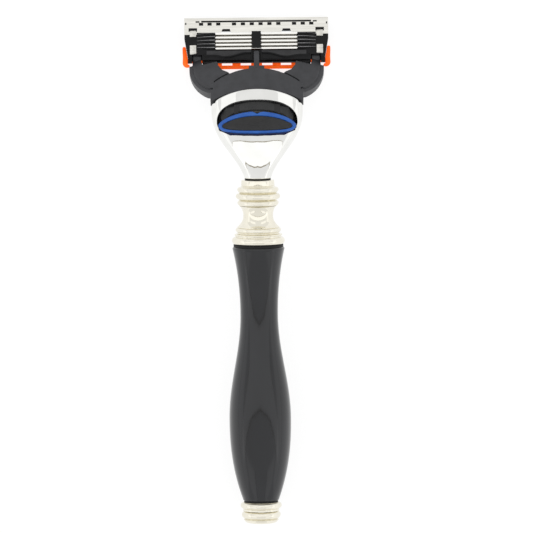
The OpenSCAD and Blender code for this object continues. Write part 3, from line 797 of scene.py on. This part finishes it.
# ---------------------------------------------------------------- cartridge
GUARD_LOW = 0.45
RAIL_X, RAIL_LENGTH, RAIL_BACK, RAIL_FRONT, RAIL_TOP = 1.45, 13.6, 130.62, 133.3, 5.5
LEDGE_X, LEDGE_LENGTH, LEDGE_FRONT = 1.5, 12.6, 133.25
BLADE_COUNT, BLADE_PITCH, FIRST_BLADE_D = 5, 1.03, 138.03
FINGER_ROOT_X, FINGER_W, FINGER_FAN_D = 11.65, 0.40, 135.85
CLIP_IN_X, CLIP_OUT_X, SHEET = 17.0, 18.8, 0.28


def box_piece(name, low, high, radius, material, where=TABLE):
    """A box between two corners, its edges rounded."""
    x0, y0, z0 = low
    x1, y1, z1 = high
    obj = prism(name, [(x0, y0), (x1, y0), (x1, y1), (x0, y1)], z0, z1, where, material)
    soften(obj, radius, 4)
    settle(obj)
    return obj


def side_box(name, side, x_range, y_range, z_range, radius, material):
    """A rounded box in the table's frame, on one side of x = 0."""
    x0, x1 = sorted((side * x_range[0], side * x_range[1]))
    low, high = (x0, y_range[0], z_range[0]), (x1, y_range[1], z_range[1])
    return box_piece(name, low, high, radius, material)


def join(name, pieces):
    """One piece from several, with the first one's material."""
    mesh = bmesh.new()
    for piece in pieces:
        copy = piece.data.copy()
        copy.transform(piece.matrix_world)
        mesh.from_mesh(copy)
        bpy.data.meshes.remove(copy)
    data = bpy.data.meshes.new(name)
    mesh.to_mesh(data)
    mesh.free()
    data.materials.append(pieces[0].data.materials[0])
    for piece in pieces:
        bpy.data.objects.remove(piece)
    obj = bpy.data.objects.new(name, data)
    bpy.context.scene.collection.objects.link(obj)
    shade(obj, 40)
    return obj


def corner_outline(side):
    """Plan of a guard wing: down the cartridge's end and round its rear corner."""
    points = [(20.9, 134.2), (20.6, 134.5), (20.02, 134.4), (19.45, 131.3), (19.45, 129.5)]
    points += [(19.0, 129.4), (18.9, 128.9), (19.15, 128.65)]
    points += [(20.9 - 1.3 + 1.3 * math.sin(a), 128.6 + 1.3 - 1.3 * math.cos(a))
               for a in (math.pi / 2 * i / 8 for i in range(9))]
    points += [(20.82, 131.5), (20.9, 133.0)]
    return [(side * x, y) for x, y in points]


def make_guard():
    """The guard: a base with five fins, a rear bar on tabs, and a wing on each end."""
    pieces = [box_piece("base", (-17, 129.85, GUARD_LOW), (17, 132.4, 0.55), 0.03, "orange")]
    for i in range(5):
        y = 130.0 + 0.5 * i
        pieces.append(box_piece("fin", (-16.6, y, 0), (16.6, y + 0.25, 0.5), 0.08, "orange"))
    pieces.append(box_piece("rear_bar", (-11.5, 128.1, GUARD_LOW), (11.5, 129.15, 1.6), 0.25, "orange"))
    tab_y, tab_z = (128.4, 130.1), (GUARD_LOW, 1.2)
    for side in (-1, 1):
        for tab_x in ((9.8, 11.5), (4.5, 6.85)):
            pieces.append(side_box("tab", side, tab_x, tab_y, tab_z, 0.15, "orange"))
        wing = prism("wing", corner_outline(side), GUARD_LOW, 3.4, TABLE, "orange")
        soften(wing, 0.22, 4, 30)
        settle(wing)
        pieces.append(wing)
        pieces.append(side_box("bridge", side, (16.9, 20.4), (129.85, 131.0), (GUARD_LOW, 0.58), 0.05,
                               "orange"))
    pieces.append(side_box("tab", 1, (-1.55, 1.55), tab_y, tab_z, 0.15, "orange"))
    finish_piece(join("guard_moulded", pieces), "cartridge", "guard_orange", "guard_fins")


def fine_steps(path, step=0.25):
    """The same path with its straight runs divided, so that they shade flat."""
    points = [path[0]]
    for (ad, az), (bd, bz) in zip(path, path[1:]):
        count = max(1, round(math.hypot(bd - ad, bz - az) / step))
        for i in range(1, count + 1):
            points.append((ad + (bd - ad) * i / count, az + (bz - az) * i / count))
    return points


def bent_strip(name, path, x0, x1, thick):
    """A strip of sheet metal bent along a (d, z) path."""
    path = fine_steps(path)
    outer, inner = [], []
    for i, (d, z) in enumerate(path):
        ad, az = path[max(0, i - 1)]
        bd, bz = path[min(len(path) - 1, i + 1)]
        n = Vector((-(bz - az), bd - ad)).normalized() * thick / 2
        outer.append((d + n.x, z + n.y))
        inner.append((d - n.x, z - n.y))
    ring, count = outer + inner[::-1], len(path)
    verts = [(x, d, z) for x in (x0, x1) for d, z in ring]
    faces = rings_to_faces(2, len(ring), caps=False)
    for start in (0, len(ring)):
        faces += [(start + i, start + i + 1, start + 2 * count - 2 - i, start + 2 * count - 1 - i)
                  for i in range(count - 1)]
    obj = new_piece(name, verts, faces, TABLE, "stamped")
    soften(obj, 0.07, 2, 50)
    settle(obj)
    return obj


def make_clips():
    """A strip round the housing: both ends turn over its back, and the run between is under it."""
    path = [(134.85, 5.78)] + arc(132.75, 5.28, -0.5, 0.5, 0, 90, 8)
    path += [(132.45, 4.85), (132.75, 4.5), (132.75, 0.6)]
    path += arc(133.0, 0.41, -0.25, -0.25, 90, 0, 4) + arc(138.65, 0.41, 0.25, -0.25, 0, 90, 4)
    path += [(138.9, 5.6)] + arc(138.4, 5.68, 0.5, 0.5, 90, 0, 8)[1:] + [(137.2, 6.18)]
    for side, node in ((-1, "clip_left"), (1, "clip_right")):
        x0, x1 = sorted((side * CLIP_IN_X, side * CLIP_OUT_X))
        clip = bent_strip(f"{node}_bent", path, x0, x1, SHEET)
        finish_piece(clip, "cartridge", "stamped_steel", node)


def finger_shape(d, t):
    """A spring finger's half width, middle and height at share t of its length."""
    half = FINGER_W * (1 - 0.62 * t ** 2.2)
    centre = d + (FINGER_FAN_D - d) * 0.10 * t ** 2
    lift = RAIL_TOP + 0.24 * math.sin(math.pi * min(1, 0.25 + t)) - 0.08 * t
    return half, centre, lift


def finger(side, d, n=12, steps=24):
    """One moulded spring finger over a blade support: a tapering half-round rib."""
    verts = []
    for k in range(steps + 1):
        t = k / steps
        x = side * (FINGER_ROOT_X + 5.25 * t)
        half, centre, lift = finger_shape(d, t)
        for j in range(n):
            a = 2 * math.pi * j / n
            verts.append((x, centre + half * math.cos(a), lift - 0.2 + 0.30 * max(-0.6, math.sin(a))))
    return new_piece("finger", verts, rings_to_faces(steps + 1, n), TABLE, "housing", 50)


def finger_painted_highlight(side, d, n=8, steps=24):
    """A light grey ridge along a spring finger's front: a painted highlight for the shine on the finger's edge."""
    verts = []
    for k in range(steps + 1):
        t = k / steps
        x = side * (FINGER_ROOT_X + 5.1 * t)
        half, centre, lift = finger_shape(d, t)
        ridge_y, ridge_z, size = centre + half * 0.72, lift + 0.03, 0.11 * (1 - 0.5 * t)
        for j in range(n):
            a = 2 * math.pi * j / n
            verts.append((x, ridge_y + size * math.cos(a), ridge_z + size * math.sin(a)))
    return new_piece("finger_painted_highlight", verts, rings_to_faces(steps + 1, n), TABLE, "edge", 50)


def wave(x):
    """The lower rail's wavy crest, as a distance along d."""
    a = abs(x)
    if a < 8.7:
        return 132.1 + 0.58 * math.cos(math.pi * max(0, a - 2.4) / 6.3)
    return 131.75 - 0.23 * math.cos(math.pi * min(1, (a - 8.7) / 3.5))


def ledge(side, n=70):
    """The smooth ledge between the rail's wavy crest and the blades, in a lighter grey than the housing's black:
    painted sheen.
    """
    front = [(LEDGE_X + LEDGE_LENGTH * i / n, LEDGE_FRONT) for i in range(n + 1)]
    back = [(x, wave(x) + 0.12) for x, d in front]
    rows = (front, RAIL_TOP), (back, RAIL_TOP), (back, 5.86), (front, 5.76)
    verts = [(side * x, d, z) for points, z in rows for x, d in points]
    piece = new_piece("ledge", verts, band_faces(4, n + 1), TABLE, "rail", 30)
    soften(piece, 0.06, 2, 40)
    settle(piece)
    return piece


def rail_relief(side, nx=140, ny=22):
    """The rear rail's relief: a wavy crest with a hollow in front of it."""
    verts = []
    for k in range(ny + 1):
        d = RAIL_BACK + (RAIL_FRONT - RAIL_BACK) * k / ny
        for i in range(nx + 1):
            x = RAIL_X + RAIL_LENGTH * i / nx
            crest = math.exp(-((d - wave(x)) / 0.36) ** 2)
            hollow = math.exp(-((d - wave(x) - 0.95) / 0.5) ** 2)
            edge = min(1, k / 2, (ny - k) / 2, i / 3, (nx - i) / 3)
            verts.append((side * x, d, RAIL_TOP + edge * (0.16 + 0.26 * crest - 0.12 * hollow)))
    verts += [(x, d, RAIL_TOP - 0.2) for x, d, z in verts]
    return new_piece("rail_relief", verts, slab_faces(nx, ny), TABLE, "housing", 60)


def make_housing_details():
    """The moulded details that the CAD housing leaves out, on both sides of the plunger."""
    pieces, ledges, edges = [], [], []
    for side in (-1, 1):
        pieces.append(rail_relief(side))
        pieces.append(side_box("lip", side, (11.3, 15.25), (128.95, 130.8), (2.9, 4.4), 0.4, "housing"))
        ledges.append(ledge(side))
        for number in range(BLADE_COUNT):
            d = FIRST_BLADE_D - BLADE_PITCH * number
            pieces.append(finger(side, d))
            edges.append(finger_painted_highlight(side, d))
    finish_piece(join("housing_relief", pieces), "cartridge", "housing_black")
    finish_piece(join("housing_ledges", ledges), "cartridge", "housing_black")
    # The light grey ridges along the fingers are painted highlights.
    finish_piece(join("housing_finger_highlights", edges), "cartridge", "housing_black")


def make_plunger():
    """A guide block, the tongue in front of it and the spring's pin behind it."""
    guide = box_piece("guide", (-2.2, -10, 0.9), (2.2, -4.05, 3.3), 0.28, "yoke", DOCK)
    outline = [(-0.8, -4.3), (0.8, -4.3), (0.78, 0.1), (0.5, 0.6), (-0.5, 0.6), (-0.78, 0.1)]
    tongue = prism("tongue", outline, 2.3, 3.28, DOCK, "yoke")
    soften(tongue, 0.22, 4)
    settle(tongue)
    pin_r, pin_length = 0.6, 5
    outline = arc(0, 0, pin_r, pin_r, 90, -270, 24)[:-1]
    along_dock = Matrix.Translation((0, -14.5, 2.0)) @ Matrix.Rotation(math.radians(-90), 4, "X")
    pin = prism("pin", outline, 0, pin_length, DOCK @ along_dock, "yoke")
    finish_piece(join("plunger_moulded", [guide, tongue, pin]), "plunger", "yoke_grey", "plunger")


# ---------------------------------------------------------------- looks on the CAD nodes
def dress_cad_nodes():
    """Materials on every CAD node that has a look of its own, and soft edges on those that show."""
    for name, look in CAD_LOOKS.items():
        obj = frame["nodes"][name]
        obj.data.materials.clear()
        obj.data.materials.append(MAT[look])
    for name, width in (("cartridge_housing", 0.12), ("trimmer_plate", 0.09),
                        ("lubricating_strip", 0.15), ("ejector", 0.08), ("tie_rod", 0.1)):
        soften(frame["nodes"][name], width)


make_camera()
make_studio()
dress_cad_nodes()
make_grip()
make_collar()
make_finial()
make_head()
make_pad()
make_ring()
make_skirt()
make_apron()
make_yoke()
make_guard()
make_clips()
make_housing_details()
make_plunger()
